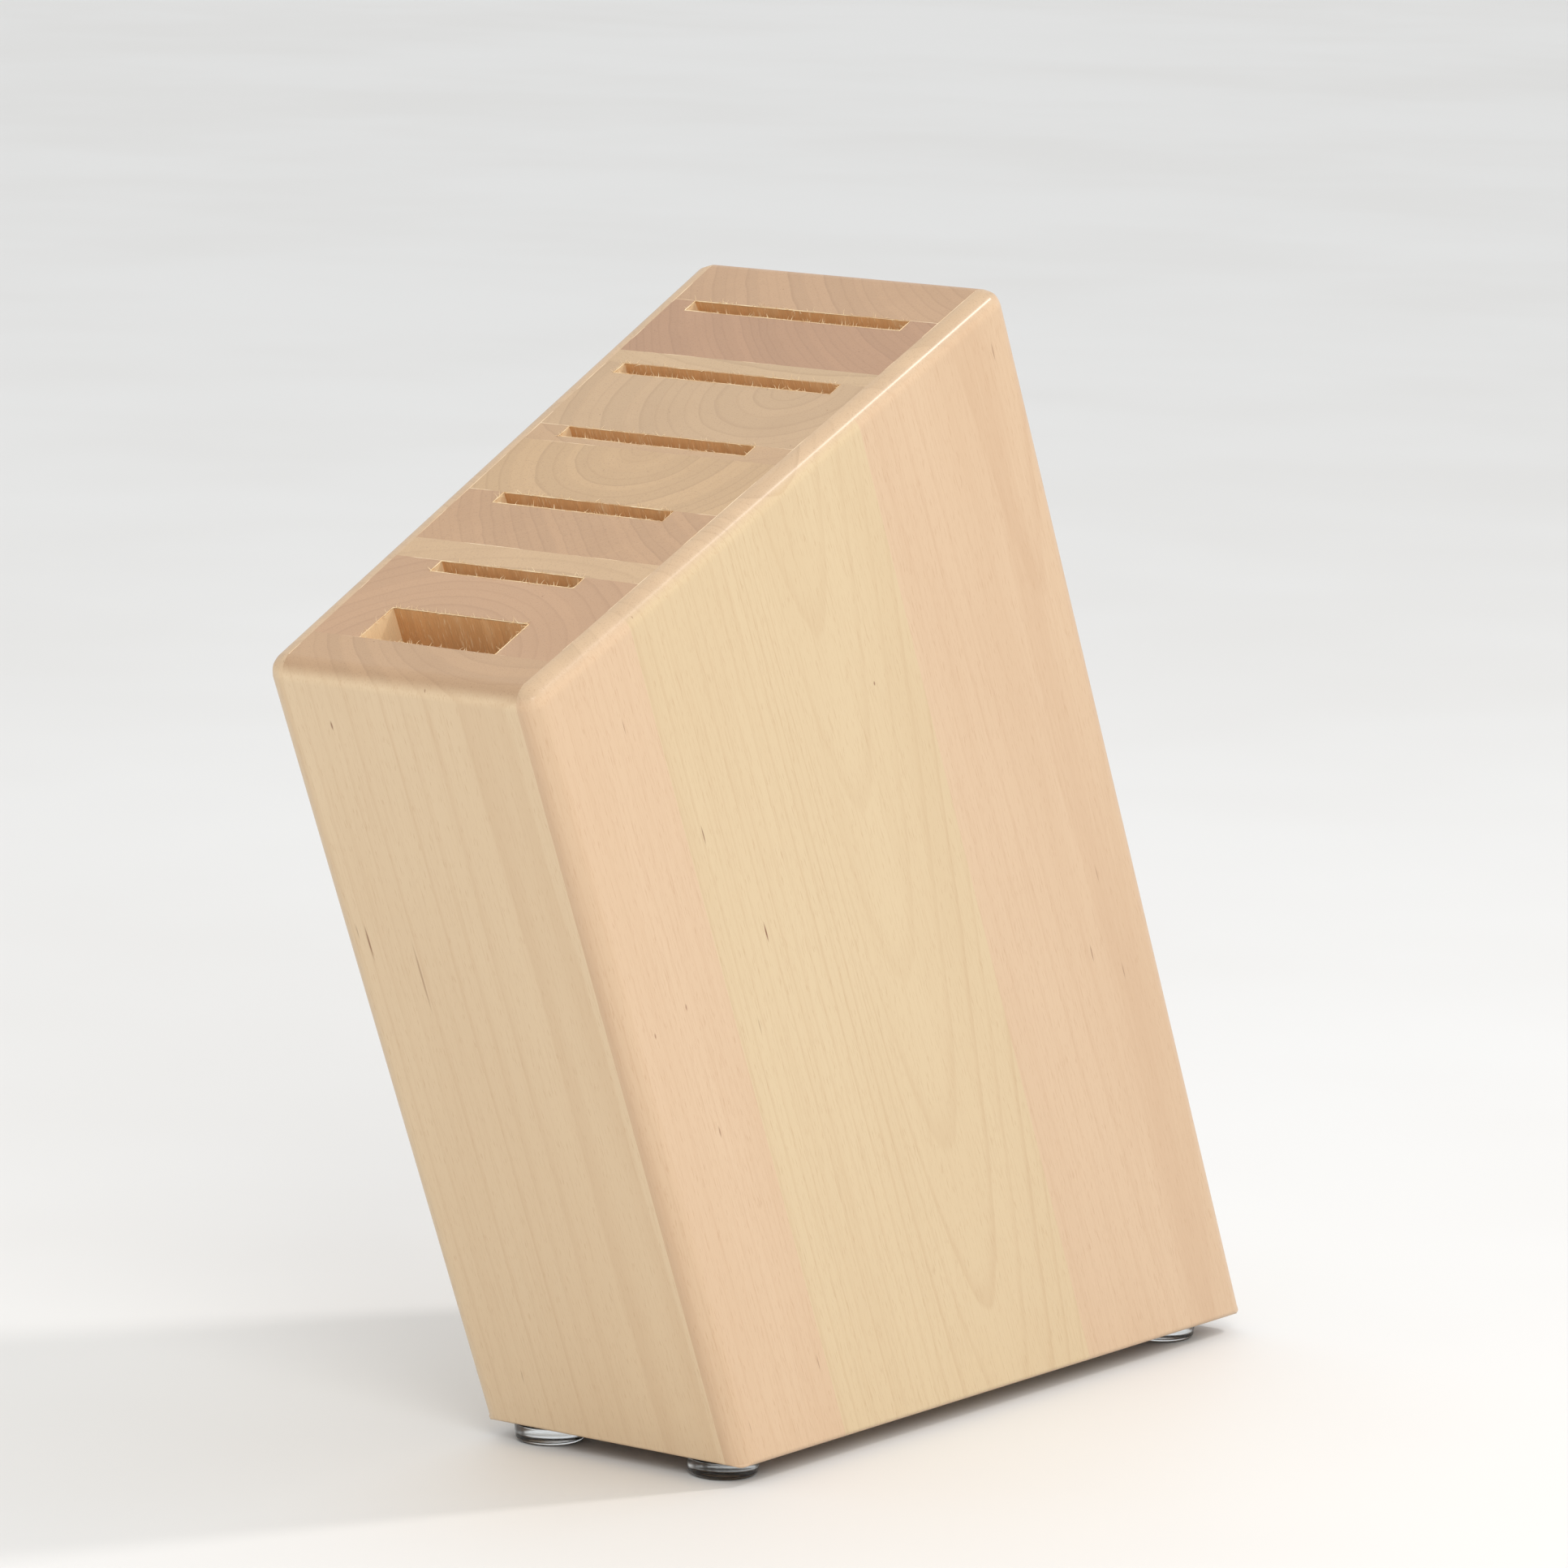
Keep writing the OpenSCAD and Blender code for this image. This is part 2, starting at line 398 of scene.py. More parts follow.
@dataclass(frozen=True)
class WoodFinish:
    """Satin maple, grown in rings round a heart that runs along the boards.

    Colours are scene-linear; lengths are in millimetres across the grain.
    """

    name: str
    face: Colour
    end: Colour
    heart: Point2
    ring_gap: float = 2.8
    taper: float = 0.012
    skew: float = 0.0
    calm: float = 0.0
    wander: float = 1.0
    ring_depth: float = 0.45
    streak: float = 0.5
    flecks: float = 0.5
    flush: float = 0.4
    stain: Optional[tuple[float, float, float]] = None
    marks: tuple[Mark, ...] = ()
    seed: float = 0.0

    def dress(self, stack: Stack) -> bpy.types.Material:
        """Build the material.

        Args:
            stack: the block's directions, for the way the grain runs.

        Returns:
            The finished material.
        """
        g = Graph(self.name)
        grain, along = self._grain_space(g, stack)
        ring, ring_tone, ring_edge = self._rings(g, grain)
        fibre, streaks, clouds = self._fibres(g, grain)
        dark = self._flecks(g, grain)
        cut = self._cut_share(g, along)

        face = g.mix((clouds - 0.5) * 1.6 + 0.5, self._shade(self.face, 1.03), self._blush(0.95))
        face = g.mix(streaks.step(0.45, 0.74) * self.streak * 0.5, face, self._blush(0.88))
        face = g.mix((1.0 - fibre.step(0.28, 0.52)) * 0.30, face, self._blush(0.78))
        face = g.mix(self._vessels(g, grain) * 0.42, face, self._blush(0.66))
        face = g.mix(ring * self.ring_depth * 0.85, face, self._blush(0.70))
        if self.stain is not None:
            face = g.mix(self._stained(g, grain) * (0.2 + 0.3 * fibre), face, self._blush(0.75))
        end = g.mix(ring_tone * 0.6, self._shade(self.end, 1.06), self._shade(self.end, 0.92))
        end = g.mix(ring * self.ring_depth * 0.65, end, self._brown(0.66))
        end = g.mix(clouds.step(0.45, 0.75) * 0.3, end, self._brown(0.84))
        end = g.mix(self._pores(g, grain) * 0.55, end, self._brown(0.62))
        end = g.mix(self._rays(g, grain) * 0.22, end, self._shade(self.end, 1.22))
        colour = g.mix(cut, face, end)
        colour = g.mix(dark, colour, tone(112, 66, 38))
        for mark in self.marks:
            colour = g.mix(self._marked(g, grain, mark), colour, tone(122, 74, 44))

        rough = 0.40 + 0.10 * fibre + 0.12 * cut
        height = fibre * 0.5 + ring_edge * 0.18 - dark * 0.6
        normal = g.bump(height, 0.16, 0.0002)
        normal = g.bump(self._pores(g, grain) * cut, 0.22, 0.0002, normal)
        return g.surface(
            {
                "Base Color": colour,
                "Roughness": rough,
                "Normal": normal,
                "IOR": 1.48,
                "Specular IOR Level": 0.5,
                "Coat Weight": 0.25,
                "Coat Roughness": 0.2,
            }
        )

    def _shade(self, base: Colour, by: float) -> Colour:
        """Same colour, lighter or darker."""
        return tuple(min(1.0, c * by) for c in base)  # type: ignore[return-value]

    def _brown(self, by: float) -> Colour:
        """End colour turned towards brown, more so the darker it gets."""
        red, green, blue = self.end
        return red * by**0.8, green * by, blue * by**1.15

    def _blush(self, by: float) -> Colour:
        """Face colour turned towards pink-brown, more so the darker it gets.

        Args:
            by: how far the colour turns, from 0 to 1.

        Returns:
            The turned colour.
        """
        red, green, blue = self.face
        warm = self.flush * 0.06
        return red * by**0.6, green * by * (1 - warm * 0.5), blue * by**1.3 * (1 - warm)

    def _grain_space(self, g: Graph, stack: Stack) -> tuple[Any, Any]:
        """Give places in millimetres with Z along the grain, and the grain's own direction.

        Args:
            g: graph of the material being built.
            stack: sizes of the whole block.

        Returns:
            The mapped places and the grain's direction.
        """
        turn = Matrix.Rotation(-stack.lean, 3, "X")
        foot = turn @ Vector((0.0, stack.base_y, stack.foot_top)) * 1000
        at = g.node("ShaderNodeTexCoord").outputs["Object"]
        made = g.node(
            "ShaderNodeMapping",
            {"vector_type": "POINT"},
            {
                "Vector": at,
                "Scale": (1000.0, 1000.0, 1000.0),
                "Rotation": (-stack.lean, 0.0, 0.0),
                "Location": tuple(-foot),
            },
        )
        along = (0.0, -math.sin(stack.lean), math.cos(stack.lean))
        return made.outputs[0], along

    def _stretched(self, g: Graph, grain: Any, across: float, length: float, shift: float) -> Any:
        """Grain places measured in cells that are long along the grain.

        Args:
            g: graph of the material being built.
            grain: places in millimetres, with Z along the grain.
            across: width of a cell across the grain.
            length: length of a cell along the grain.
            shift: offset that sets one pattern apart.

        Returns:
            The scaled places.
        """
        scale = (1 / across, 1 / across, 1 / length)
        scaled = g.vector("MULTIPLY", grain, scale)
        own = self.seed * 7.3 + shift
        return g.vector("ADD", scaled, (own, own * 0.6 + 3.1, own * 1.7))

    def _rings(self, g: Graph, grain: Any) -> tuple[Sum, Sum, Sum]:
        """Yearly rings: the dark late line, each ring's own tone, and its edge.

        Args:
            g: graph of the material being built.
            grain: places in millimetres, with Z along the grain.

        Returns:
            The dark line, the tone and the edge of the rings.
        """
        x, q, v = g.parts(grain)
        slow = self._stretched(g, grain, 34.0, 240.0, 11.0)
        bend = self.wander * 2.0
        warp = self._stretched(g, grain, 12.0, 240.0, 13.0)
        swell = (g.noise(warp, 1.0, 1.0) - 0.5) * (1.2 * self.wander)
        sway_x = (g.noise(slow, 1.0, 1.0) - 0.5) * bend + swell
        sway_q = (g.noise(g.vector("ADD", slow, (17.0, 5.0, 9.0)), 1.0, 1.0) - 0.5) * bend
        near = self._stretched(g, grain, 5.0, 90.0, 23.0)
        ripple = (g.noise(near, 1.0, 2.0) - 0.5) * 0.7
        a = x - self.heart[0] + sway_x
        b = q - self.heart[1] + sway_q
        b = b - abs(b) * self.skew
        rise = v * self.taper
        if self.calm > 0:
            rise = rise * b.step(-2.6 * self.calm, -0.8 * self.calm)
        reach = (a * a + b * b).root() + rise + ripple
        count = reach / self.ring_gap
        uneven = (g.noise(g.join(count * 0.31, self.seed, 0.5), 1.0, 1.0) - 0.5) * 1.5
        count = count + uneven
        turn = count.fraction()
        own = g.node("ShaderNodeTexWhiteNoise", {"noise_dimensions": "1D"}, {"W": count.floor() + self.seed})
        ring_tone = Sum(g, own.outputs["Value"])
        late = turn.step(0.62, 0.93) ** 1.6 * (1.0 - turn.step(0.94, 1.0))
        line = late * (0.4 + 0.6 * ring_tone)
        return line, ring_tone, late

    def _fibres(self, g: Graph, grain: Any) -> tuple[Sum, Sum, Sum]:
        """Fine fibres, wider streaks and slow clouds along the grain.

        Args:
            g: graph of the material being built.
            grain: places in millimetres, with Z along the grain.

        Returns:
            The fibres, the streaks and the clouds.
        """
        fine = g.noise(self._stretched(g, grain, 0.42, 16.0, 2.0), 1.0, 3.0, 0.6)
        wide = g.noise(self._stretched(g, grain, 3.2, 150.0, 5.0), 1.0, 3.0, 0.62)
        slow = g.noise(self._stretched(g, grain, 16.0, 95.0, 8.0), 1.0, 2.0)
        return fine, wide, slow

    def _flecks(self, g: Graph, grain: Any) -> Sum:
        """Few short dark marks along the grain, each with its own strength.

        Args:
            g: graph of the material being built.
            grain: places in millimetres, with Z along the grain.

        Returns:
            The share of dark fleck at each place.
        """
        cells = self._stretched(g, grain, 4.2, 30.0, 31.0)
        found = g.node("ShaderNodeTexVoronoi", {"feature": "F1"}, {"Vector": cells, "Scale": 1.0})
        off = g.vector("SUBTRACT", cells, found.outputs["Position"])
        size = g.vector("MULTIPLY", off, (4.2 / 0.20, 4.2 / 0.20, 30.0 / 2.4))
        far = g.vector("LENGTH", size, out="Value")
        red, green, _ = g.parts(found.outputs["Color"])
        kept = red.step(1.0 - self.flecks, 1.02 - self.flecks)
        return (1.0 - far.step(0.25, 1.0)) * kept * (0.35 + 0.5 * green)

    def _pores(self, g: Graph, grain: Any) -> Sum:
        """Small open vessels, seen as points where the grain is cut across."""
        fine = g.noise(self._stretched(g, grain, 0.24, 9.0, 41.0), 1.0, 2.0, 0.6)
        return fine.step(0.56, 0.70)

    def _marked(self, g: Graph, grain: Any, mark: Mark) -> Sum:
        """Share of one dark fleck at a place.

        Args:
            g: graph of the material being built.
            grain: places in millimetres, with Z along the grain.
            mark: the fleck to draw.

        Returns:
            The share of this fleck at each place.
        """
        off = g.vector("SUBTRACT", grain, (mark.across, mark.behind, mark.along))
        size = (1 / mark.width, 1 / mark.width, 2 / mark.length)
        far = g.vector("LENGTH", g.vector("MULTIPLY", off, size), out="Value")
        return (1.0 - far.step(0.2, 1.0)) * mark.strength

    def _stained(self, g: Graph, grain: Any) -> Sum:
        """A darker mineral streak that runs along the grain with soft ragged sides.

        Args:
            g: graph of the material being built.
            grain: places in millimetres, with Z along the grain.

        Returns:
            The share of streak at each place.
        """
        across, behind, reach = self.stain or (0.0, 0.0, 1.0)
        x, q, _ = g.parts(grain)
        sway = (g.noise(self._stretched(g, grain, 9.0, 60.0, 53.0), 1.0, 2.0) - 0.5) * reach * 1.6
        rag = (g.noise(self._stretched(g, grain, 0.7, 22.0, 59.0), 1.0, 2.0) - 0.5) * reach * 1.2
        a, b = x - across, q - behind + sway
        return 1.0 - ((a * a + b * b).root() + rag).step(0.0, reach)

    def _vessels(self, g: Graph, grain: Any) -> Sum:
        """Short fine dashes where open vessels run just under the surface."""
        fine = g.noise(self._stretched(g, grain, 0.2, 2.6, 47.0), 1.0, 1.0, 0.5)
        return fine.step(0.60, 0.70)

    def _rays(self, g: Graph, grain: Any) -> Sum:
        """Fine pale lines that run out from the heart across the rings.

        Args:
            g: graph of the material being built.
            grain: places in millimetres, with Z along the grain.

        Returns:
            The share of ray at each place.
        """
        x, q, _ = g.parts(grain)
        turned = g.math("ARCTAN2", x - self.heart[0], q - self.heart[1])
        return g.noise(g.join(turned * 260.0, self.seed, 0.0), 1.0, 1.0).step(0.55, 0.8)

    def _cut_share(self, g: Graph, along: Any) -> Sum:
        """How squarely the surface cuts across the grain, 0 to 1."""
        facing = g.node("ShaderNodeNewGeometry").outputs["Normal"]
        return abs(g.vector("DOT_PRODUCT", facing, along, out="Value")).step(0.25, 0.86)


@dataclass(frozen=True)
class SawnFinish:
    """Rough unfinished wood inside a groove: torn pale fibres over a warm ground, with the end walls that
    face across the block painted paler as painted light.
    """

    name: str
    ground: Colour
    pale: Colour
    seed: float = 0.0

    def dress(self, stack: Stack) -> bpy.types.Material:
        """Build the material.

        Args:
            stack: the block's directions, for the way the grain runs.

        Returns:
            The finished material.
        """
        g = Graph(self.name)
        helper = WoodFinish(self.name, self.ground, self.ground, (0.0, 0.0), seed=self.seed)
        grain, _ = helper._grain_space(g, stack)
        coarse = g.noise(helper._stretched(g, grain, 1.3, 30.0, 3.0), 1.0, 3.0, 0.65)
        torn = g.noise(helper._stretched(g, grain, 0.3, 2.6, 6.0), 1.0, 2.0, 0.6)
        patch = g.noise(helper._stretched(g, grain, 5.0, 9.0, 9.0), 1.0, 2.0)
        facing = g.node("ShaderNodeNewGeometry").outputs["Normal"]
        # painted light: the groove's end walls, which face across the block, get a share that paints them
        # paler as if lit from the side
        painted_light_sideways = abs(g.parts(facing)[0]).step(0.5, 0.9)
        colour = g.mix(coarse.step(0.3, 0.7) * 0.6, self.ground, helper._shade(self.ground, 0.82))
        colour = g.mix(torn.step(0.60, 0.70) * 0.6, colour, self.pale)
        colour = g.mix(patch.step(0.5, 0.8) * 0.3, colour, self.pale)
        # painted light: the pale tone laid onto the end walls
        colour = g.mix(painted_light_sideways * 0.75, colour, self.pale)
        height = coarse * 0.5 + torn * 0.9
        return g.surface(
            {
                "Base Color": colour,
                "Roughness": 0.72 + 0.2 * torn,
                "Normal": g.bump(height, 0.45, 0.0004),
                "IOR": 1.45,
            }
        )


@dataclass(frozen=True)
class ClearFinish:
    """Clear cast polyurethane, faintly dusty and slightly uneven."""

    name: str
    tint: Colour
    haze: float = 0.06

    def dress(self) -> bpy.types.Material:
        """Build the material.

        Returns:
            The finished material.
        """
        g = Graph(self.name)
        at = g.places()
        dust = g.noise(at, 900.0, 3.0, 0.6)
        wave = g.noise(at, 160.0, 1.0)
        colour = g.mix(dust.step(0.55, 0.8) * 0.25, self.tint, tuple(0.82 * c for c in self.tint))
        return g.surface(
            {
                "Base Color": colour,
                "Roughness": self.haze + dust.step(0.5, 0.85) * 0.16,
                "Normal": g.bump(wave, 0.12, 0.0003),
                "Transmission Weight": 1.0,
                "IOR": 1.47,
            }
        )


@dataclass(frozen=True)
class PlainFinish:
    """Mottled single-colour finish for glue, fibres and the table."""

    name: str
    base: Colour
    other: Colour
    grain: float
    rough: float = 0.6
    share: float = 1.0

    def dress(self) -> bpy.types.Material:
        """Build the material.

        Returns:
            The finished material.
        """
        g = Graph(self.name)
        at = g.places()
        cloud = g.noise(at, self.grain, 3.0, 0.6)
        return g.surface(
            {
                "Base Color": g.mix(cloud.step(0.35, 0.7) * self.share, self.base, self.other),
                "Roughness": self.rough + 0.1 * cloud,
                "Normal": g.bump(cloud, 0.1, 0.0003),
            }
        )


# ---------------------------------------------------------------- mesh helpers


def finish_mesh(made: bpy.types.Object, name: str) -> bpy.types.Object:
    """Apply a piece's modifiers, leaving one plain mesh at the origin.

    Args:
        made: object with its modifiers live.
        name: name of the finished piece.

    Returns:
        The finished object.
    """
    seen = bpy.context.evaluated_depsgraph_get()
    seen.update()
    mesh = bpy.data.meshes.new_from_object(
        made.evaluated_get(seen), preserve_all_data_layers=True, depsgraph=seen
    )
    mesh.name = name
    old = made.data
    made.modifiers.clear()
    made.data = mesh
    bpy.data.meshes.remove(old)
    made.name = name
    return made


ROUND_WIDTH = 4.0 * MM


def soften(work: bmesh.types.BMesh, wanted: dict[tuple[Any, Any], float]) -> None:
    """Mark which edges are rounded, and keep every other one crisp.

    Args:
        work: closed working mesh.
        wanted: the two ends of an edge to its rounding radius.
    """
    weight = work.edges.layers.float.new("bevel_weight_edge")
    bmesh.ops.recalc_face_normals(work, faces=work.faces)
    work.normal_update()
    for edge in work.edges:
        edge.smooth = False
    for ends, radius in wanted.items():
        edge = work.edges.get(ends)
        edge.smooth = True
        edge[weight] = radius * math.tan(edge.calc_face_angle() / 2) / ROUND_WIDTH


def solid_object(name: str, work: bmesh.types.BMesh) -> bpy.types.Object:
    """Turn a closed working mesh into an object with outward faces.

    Args:
        name: name of the new object.
        work: closed working mesh.

    Returns:
        The new object.
    """
    bmesh.ops.recalc_face_normals(work, faces=work.faces)
    mesh = bpy.data.meshes.new(name)
    work.to_mesh(mesh)
    work.free()
    mesh.polygons.foreach_set("use_smooth", [True] * len(mesh.polygons))
    made = bpy.data.objects.new(name, mesh)
    bpy.context.scene.collection.objects.link(made)
    return made


def round_edges(made: bpy.types.Object, segments: int = 10) -> None:
    """Round the weighted edges and keep the flats flat.

    Args:
        made: object to work on.
        segments: steps in each rounding.
    """
    rounder = made.modifiers.new("rounded", "BEVEL")
    rounder.limit_method = "WEIGHT"
    rounder.offset_type = "OFFSET"
    rounder.width = ROUND_WIDTH
    rounder.segments = segments
    rounder.harden_normals = True
    rounder.use_clamp_overlap = True


def hand_over(made: bpy.types.Object, node: str) -> None:
    """Let a finished piece ride on the block in place of its node.

    Args:
        made: object to work on.
        node: name of the node that the piece stands for.
    """
    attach(made, "root")
    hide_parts(node)
    LOG.info("%s: %d faces", made.name, len(made.data.polygons))


# ---------------------------------------------------------------- boards


class Edge(Enum):
    """Which outside face a board shows."""

    NONE = "none"
    FRONT = "front"
    BACK = "back"


@dataclass(frozen=True)
class Groove:
    """A straight groove run along a board, in metres."""

    name: str
    width: float
    gap: float
    in_front: bool = False


@dataclass
class Board:
    """One board of the stack, with its grooves and any outside rounding."""

    name: str
    start: float
    thick: float
    wood: WoodFinish
    slot: str
    grooves: Sequence[Groove] = ()
    edge: Edge = Edge.NONE
    rim: float = 0.28 * MM
    stack: Stack = field(default_factory=Stack)

    def outline(self) -> list[tuple[float, float, bool]]:
        """Give the board's section as (across, behind, part of a groove) corners.

        Returns:
            The corners in order.
        """
        st, front, back = self.stack, self.start, self.start + self.thick
        corners: list[tuple[float, float, bool]] = [(-st.core(front), front, False)]
        for cut in (c for c in self.grooves if c.in_front):
            left, right = st.slot_shift - cut.width / 2, st.slot_shift + cut.width / 2
            corners += [
                (left, front, True),
                (left, front + cut.gap, True),
                (right, front + cut.gap, True),
                (right, front, True),
            ]
        corners += [(st.core(front), front, False), (st.core(back), back, False)]
        for cut in (c for c in self.grooves if not c.in_front):
            left, right = st.slot_shift - cut.width / 2, st.slot_shift + cut.width / 2
            corners += [
                (right, back, True),
                (right, back - cut.gap, True),
                (left, back - cut.gap, True),
                (left, back, True),
            ]
        corners.append((-st.core(back), back, False))
        return corners

    def build(self, polished: bpy.types.Material, sawn: bpy.types.Material) -> bpy.types.Object:
        """Make the board's mesh and dress it.

        Args:
            polished: satin wood for the outside.
            sawn: rough wood for the grooves and glued faces.

        Returns:
            The finished board.
        """
        st, ring = self.stack, self.outline()
        work = bmesh.new()
        wanted: dict[tuple[Any, Any], float] = {}
        low = [work.verts.new(st.place(x, q, st.low(q))) for x, q, _ in ring]
        high = [work.verts.new(st.place(x, q, st.front_len)) for x, q, _ in ring]
        work.faces.new(high)
        work.faces.new(list(reversed(low)))
        count = len(ring)
        for here in range(count):
            after = (here + 1) % count
            wall = work.faces.new([low[here], low[after], high[after], high[here]])
            rough = ring[here][2] and ring[after][2]
            flat = abs(ring[here][1] - ring[after][1]) < 1e-9
            outside = (self.edge is Edge.FRONT and flat and ring[here][1] < self.start + 1e-9) or (
                self.edge is Edge.BACK and flat and ring[here][1] > self.start + self.thick - 1e-9
            )
            wall.material_index = 1 if (rough or flat) and not outside else 0
            if rough or outside:
                wanted[high[here], high[after]] = st.edge_r if outside else self.rim
                heel = st.lower_back_r if self.edge is Edge.BACK else st.lower_r
                wanted[low[here], low[after]] = heel if outside else self.rim
        soften(work, wanted)
        made = solid_object(self.name, work)
        made.data.materials.append(polished)
        made.data.materials.append(sawn)
        round_edges(made)
        return finish_mesh(made, f"{self.name}_wood")


@dataclass
class Stave:
    """One stave of a side panel, rounded where it is on the outside."""

    name: str
    side: int
    start: float
    end: float
    wood: WoodFinish
    slot: str
    stack: Stack = field(default_factory=Stack)

    def build(self, polished: bpy.types.Material) -> bpy.types.Object:
        """Make the stave's mesh and dress it.

        Args:
            polished: satin wood for the whole stave.

        Returns:
            The finished stave.
        """
        st = self.stack
        work = bmesh.new()
        verts: dict[tuple[str, str, str], Any] = {}
        for end, q in (("front", self.start), ("back", self.end)):
            for wall, x in (("in", st.core(q)), ("out", st.outer(q))):
                for level, v in (("low", st.low(q)), ("top", st.front_len)):
                    verts[end, wall, level] = work.verts.new(st.place(self.side * x, q, v))
        for axis, picks in enumerate((("front", "back"), ("in", "out"), ("low", "top"))):
            others = [a for a in range(3) if a != axis]
            loops = (("front", "back"), ("in", "out"), ("low", "top"))
            for pick in picks:
                ring = []
                for first, second in ((0, 0), (1, 0), (1, 1), (0, 1)):
                    key = [""] * 3
                    key[axis] = pick
                    key[others[0]] = loops[others[0]][first]
                    key[others[1]] = loops[others[1]][second]
                    ring.append(verts[tuple(key)])  # type: ignore[index]
                work.faces.new(ring)

        wanted = {
            (("front", "out", "top"), ("back", "out", "top")): st.edge_r,
            (("front", "out", "low"), ("back", "out", "low")): st.lower_r * 1.2,
        }
        for end, q in (("front", self.start), ("back", self.end)):
            if abs(q) < 1e-9 or abs(q - st.depth) < 1e-9:
                wanted[(end, "out", "low"), (end, "out", "top")] = st.edge_r
                wanted[(end, "in", "top"), (end, "out", "top")] = st.edge_r
                heel = st.lower_back_r if end == "back" else st.lower_r
                wanted[(end, "in", "low"), (end, "out", "low")] = heel
        soften(work, {(verts[a], verts[b]): radius for (a, b), radius in wanted.items()})
        made = solid_object(self.name, work)
        made.data.materials.append(polished)
        round_edges(made)
        return finish_mesh(made, f"{self.name}_wood")


# ---------------------------------------------------------------- feet


@dataclass
class Bumper:
    """A clear round stick-on foot, turned from one outline, in metres."""

    name: str
    rim_r: float = 1.0 * MM
    taper: float = 0.3 * MM
    steps: int = 96

    def outline(self, radius: float, height: float) -> list[Point2]:
        """Give the outline from the middle of the base to the middle of the top.

        Args:
            radius: radius at the base, in metres.
            height: height of the bumper, in metres.

        Returns:
            The corners in order.
        """
        side = radius - self.taper
        dish = 0.22 * MM
        points: list[Point2] = [(0.0, dish), (radius * 0.45, dish * 0.75), (radius * 0.58, 0.0)]
        for step in range(11):
            turn = math.radians(-90 + 9 * step)
            across = side - self.rim_r + self.rim_r * math.cos(turn)
            points.append((across, self.rim_r + self.rim_r * math.sin(turn)))
        points += [(radius - 0.08 * MM, height - 0.35 * MM), (radius, height - 0.22 * MM)]
        points += [(radius, height - 0.05 * MM), (radius - 0.06 * MM, height), (0.0, height)]
        return points

    def build(self, clear: bpy.types.Material) -> bpy.types.Object:
        """Turn the outline round its axis and dress it.

        Args:
            clear: the bumper's material.

        Returns:
            The finished bumper.
        """
        lowest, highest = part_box(self.name)
        middle = (lowest + highest) / 2
        ring = self.outline((highest.x - lowest.x) / 2, highest.z - lowest.z)
        work = bmesh.new()
        rows = []
        for across, up in ring:
            if across < 1e-9:
                rows.append([work.verts.new((middle.x, middle.y, up))])
                continue
            turns = (2 * math.pi * k / self.steps for k in range(self.steps))
            rows.append(
                [
                    work.verts.new(
                        (middle.x + across * math.cos(t), middle.y + across * math.sin(t), up)
                    )
                    for t in turns
                ]
            )
        for lower, upper in zip(rows, rows[1:]):
            for k in range(self.steps):
                n = (k + 1) % self.steps
                if len(lower) == 1:
                    work.faces.new([lower[0], upper[n], upper[k]])
                elif len(upper) == 1:
                    work.faces.new([lower[k], lower[n], upper[0]])
                else:
                    work.faces.new([lower[k], lower[n], upper[n], upper[k]])
        made = solid_object(self.name, work)
        made.data.materials.append(clear)
        made.data.set_sharp_from_angle(angle=math.radians(50))
        made.name = made.data.name = f"{self.name}_clear"
        return made


# ---------------------------------------------------------------- what repeats along the joints


class Branches:
    """A Geometry Nodes tree with named inputs, built through one typed method."""

    def __init__(self, name: str, inputs: dict[str, str]) -> None:
        """Start a tree.

        Args:
            name: the tree's name.
            inputs: input name to its socket type.
        """
        self.tree = bpy.data.node_groups.new(name, "GeometryNodeTree")
        face = self.tree.interface
        face.new_socket("Geometry", in_out="OUTPUT", socket_type="NodeSocketGeometry")
        face.new_socket("Geometry", in_out="INPUT", socket_type="NodeSocketGeometry")
        self.keys: dict[str, str] = {}
        for label, kind in inputs.items():
            self.keys[label] = face.new_socket(label, in_out="INPUT", socket_type=kind).identifier
        self.start = self.tree.nodes.new("NodeGroupInput")
        self.end = self.tree.nodes.new("NodeGroupOutput")

    def node(self, kind: str, settings: dict[str, Any], inputs: dict[Any, Any]) -> Any:
        """Add one node, its settings first, then its socket values and links.

        Args:
            kind: type of the node.
            settings: properties set before the sockets.
            inputs: socket values and links.

        Returns:
            The new node.
        """
        made = self.tree.nodes.new(kind)
        for key, value in settings.items():
            setattr(made, key, value)
        for key, value in inputs.items():
            if isinstance(value, bpy.types.NodeSocket):
                self.tree.links.new(value, made.inputs[key])
            else:
                made.inputs[key].default_value = value
        return made

    def close(self, last: Any) -> None:
        """Realize the instances, set the material and end the tree.

        Args:
            last: geometry that the tree ends with.
        """
        real = self.node("GeometryNodeRealizeInstances", {}, {"Geometry": last})
        dressed = self.node(
            "GeometryNodeSetMaterial",
            {},
            {"Geometry": real.outputs[0], "Material": self.start.outputs["Material"]},
        )
        self.tree.links.new(dressed.outputs[0], self.end.inputs[0])

    def grow(self, name: str, paths: Sequence[Sequence[Vector]], values: dict[str, Any]) -> Any:
        """Run the tree over a set of paths and keep the result as a plain mesh.

        Args:
            name: name of the finished piece.
            paths: runs of places, each joined by edges.
            values: input name to its value.

        Returns:
            The finished object.
        """
        points: list[Vector] = []
        edges: list[tuple[int, int]] = []
        for path in paths:
            first = len(points)
            points += list(path)
            edges += [(first + k, first + k + 1) for k in range(len(path) - 1)]
        mesh = bpy.data.meshes.new(name)
        mesh.from_pydata(points, edges, [])
        made = bpy.data.objects.new(name, mesh)
        bpy.context.scene.collection.objects.link(made)
        grown = made.modifiers.new("grown", "NODES")
        grown.node_group = self.tree
        for label, value in values.items():
            grown[self.keys[label]] = value
        return finish_mesh(made, name)


